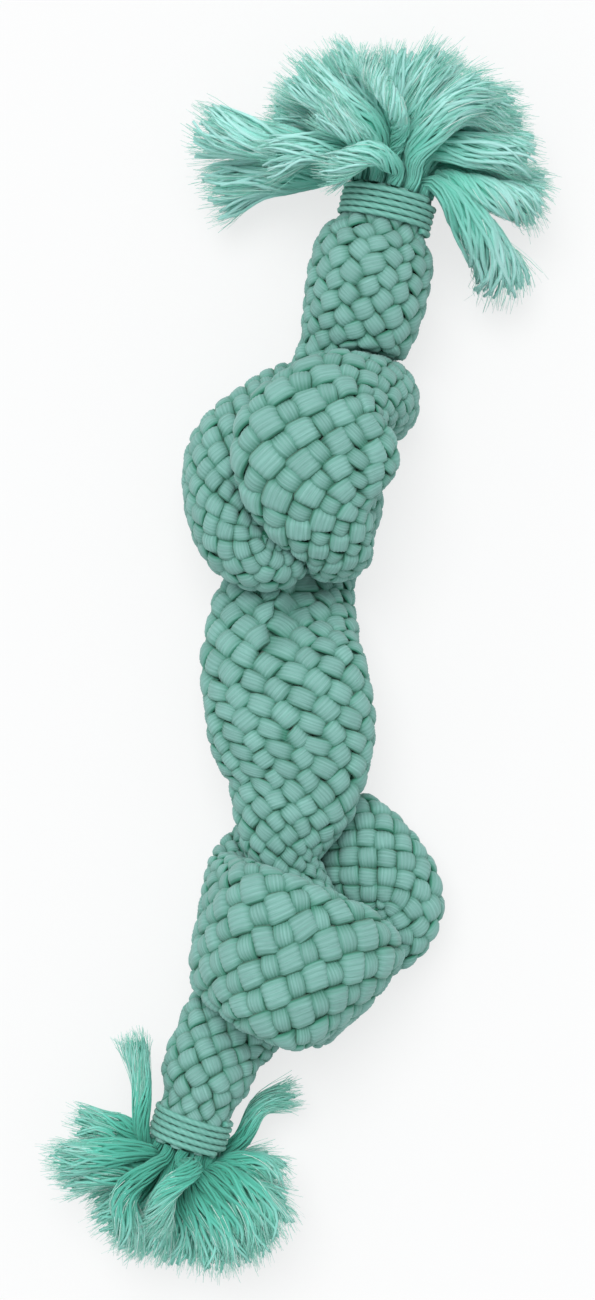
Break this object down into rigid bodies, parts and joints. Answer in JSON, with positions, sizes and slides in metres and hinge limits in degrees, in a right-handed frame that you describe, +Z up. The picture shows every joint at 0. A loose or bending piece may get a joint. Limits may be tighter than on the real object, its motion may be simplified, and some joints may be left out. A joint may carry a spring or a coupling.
{
  "type": "rope dog toy",
  "caption": "Soft braided cotton rope tied in overhand knots, whipped with yarn at its ends and opened into frayed tassels, for a dog to chew, tug and fetch.",
  "frame": {"origin": "middle of the toy's outline, at the height of the surface it lies on", "axes": "+Y along the toy's length towards the end with the wider whipping, +Z up from the surface it lies on, +X to the right when it is seen from above"},
  "size_m": [0.1382, 0.341, 0.0486],
  "materials": {
    "braided_sleeve": "matt cotton",
    "core_cords": "matt cotton",
    "whipping_yarn": "matt cotton",
    "tassel_tufts": "frayed cotton"
  },
  "bodies": {
    "upper_knot": {"upper_knot_sleeve": "braided_sleeve", "upper_knot_core": "core_cords", "middle_sleeve": "braided_sleeve", "middle_core": "core_cords"},
    "upper_end": {"upper_neck_sleeve": "braided_sleeve", "upper_neck_core": "core_cords", "upper_whipping": "whipping_yarn", "upper_tuft_01": "tassel_tufts", "upper_tuft_02": "tassel_tufts", "upper_tuft_03": "tassel_tufts", "upper_tuft_04": "tassel_tufts", "upper_tuft_05": "tassel_tufts", "upper_tuft_06": "tassel_tufts", "upper_tuft_07": "tassel_tufts", "upper_tuft_08": "tassel_tufts", "upper_tuft_09": "tassel_tufts", "upper_tuft_10": "tassel_tufts", "upper_tuft_11": "tassel_tufts", "upper_tuft_12": "tassel_tufts", "upper_tuft_13": "tassel_tufts", "upper_tuft_14": "tassel_tufts", "upper_tuft_15": "tassel_tufts", "upper_tuft_16": "tassel_tufts", "upper_tuft_17": "tassel_tufts", "upper_tuft_18": "tassel_tufts", "upper_tuft_19": "tassel_tufts", "upper_tuft_20": "tassel_tufts", "upper_tuft_21": "tassel_tufts", "upper_tuft_22": "tassel_tufts", "upper_tuft_23": "tassel_tufts"},
    "lower_knot": {"lower_knot_sleeve": "braided_sleeve", "lower_knot_core": "core_cords"},
    "lower_end": {"lower_neck_sleeve": "braided_sleeve", "lower_neck_core": "core_cords", "lower_whipping": "whipping_yarn", "lower_tuft_01": "tassel_tufts", "lower_tuft_02": "tassel_tufts", "lower_tuft_03": "tassel_tufts", "lower_tuft_04": "tassel_tufts", "lower_tuft_05": "tassel_tufts", "lower_tuft_06": "tassel_tufts", "lower_tuft_07": "tassel_tufts", "lower_tuft_08": "tassel_tufts", "lower_tuft_09": "tassel_tufts", "lower_tuft_10": "tassel_tufts", "lower_tuft_11": "tassel_tufts", "lower_tuft_12": "tassel_tufts", "lower_tuft_13": "tassel_tufts", "lower_tuft_14": "tassel_tufts", "lower_tuft_15": "tassel_tufts", "lower_tuft_16": "tassel_tufts", "lower_tuft_17": "tassel_tufts", "lower_tuft_18": "tassel_tufts", "lower_tuft_19": "tassel_tufts", "lower_tuft_20": "tassel_tufts", "lower_tuft_21": "tassel_tufts", "lower_tuft_22": "tassel_tufts", "lower_tuft_23": "tassel_tufts"}
  },
  "joints": [
    {"name": "upper_neck_bend", "type": "hinge", "parent": "upper_knot", "child": "upper_end", "pos_m": [0.01838, 0.10049, 0.0224], "axis": [0, 0, 1], "range_deg": [-30, 30], "deforming": ["upper_neck_sleeve", "upper_neck_core"]},
    {"name": "middle_bend", "type": "hinge", "parent": "upper_knot", "child": "lower_knot", "pos_m": [-0.00262, -0.01151, 0.0224], "axis": [0, 0, 1], "range_deg": [-35, 35], "deforming": ["middle_sleeve", "middle_core"]},
    {"name": "lower_neck_bend", "type": "hinge", "parent": "lower_knot", "child": "lower_end", "pos_m": [-0.02592, -0.11451, 0.0214], "axis": [0, 0, 1], "range_deg": [-15, 15], "deforming": ["lower_neck_sleeve", "lower_neck_core"]}
  ]
}
